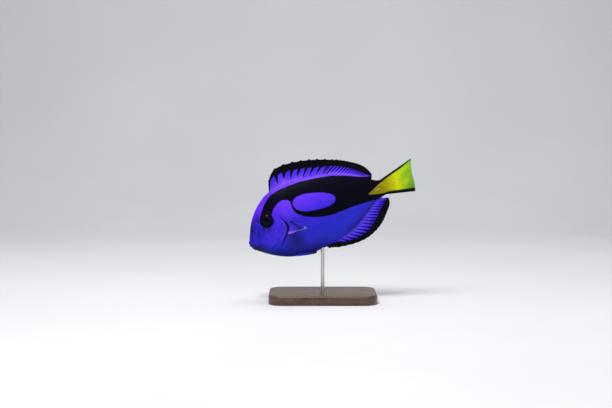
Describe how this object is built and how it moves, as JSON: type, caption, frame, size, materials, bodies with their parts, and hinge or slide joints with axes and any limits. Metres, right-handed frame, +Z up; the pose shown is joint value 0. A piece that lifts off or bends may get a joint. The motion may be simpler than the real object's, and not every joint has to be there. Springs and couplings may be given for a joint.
{
  "type": "regal blue tang",
  "caption": "Life-size regal blue tang swimming nose down with its fins spread, on one thin rod and a plain display base.",
  "frame": {"origin": "middle of the display base's underside, on the rod's axis", "axes": "+Z up, +X towards the tail, the fish's left side towards -Y"},
  "size_m": [0.1428, 0.0726, 0.1224],
  "materials": {
    "skin": "satin",
    "stalk_skin": "satin",
    "fin_blue": "satin",
    "fin_yellow": "satin",
    "eye": "polished",
    "spine": "polished",
    "stand_wood": "satin",
    "stand_steel": "brushed"
  },
  "bodies": {
    "root": {"head": "skin", "lower_jaw": "skin", "trunk": "skin", "tail_stalk": "stalk_skin", "dorsal_fin": "fin_blue", "anal_fin": "fin_blue", "tail_fin": "fin_yellow", "pectoral_fin_left": "fin_blue", "pectoral_fin_right": "fin_blue", "pelvic_fin_left": "fin_blue", "pelvic_fin_right": "fin_blue", "eye_left": "eye", "eye_right": "eye", "tail_spine_left": "spine", "tail_spine_right": "spine", "stand_base": "stand_wood", "stand_rod": "stand_steel"}
  },
  "joints": []
}
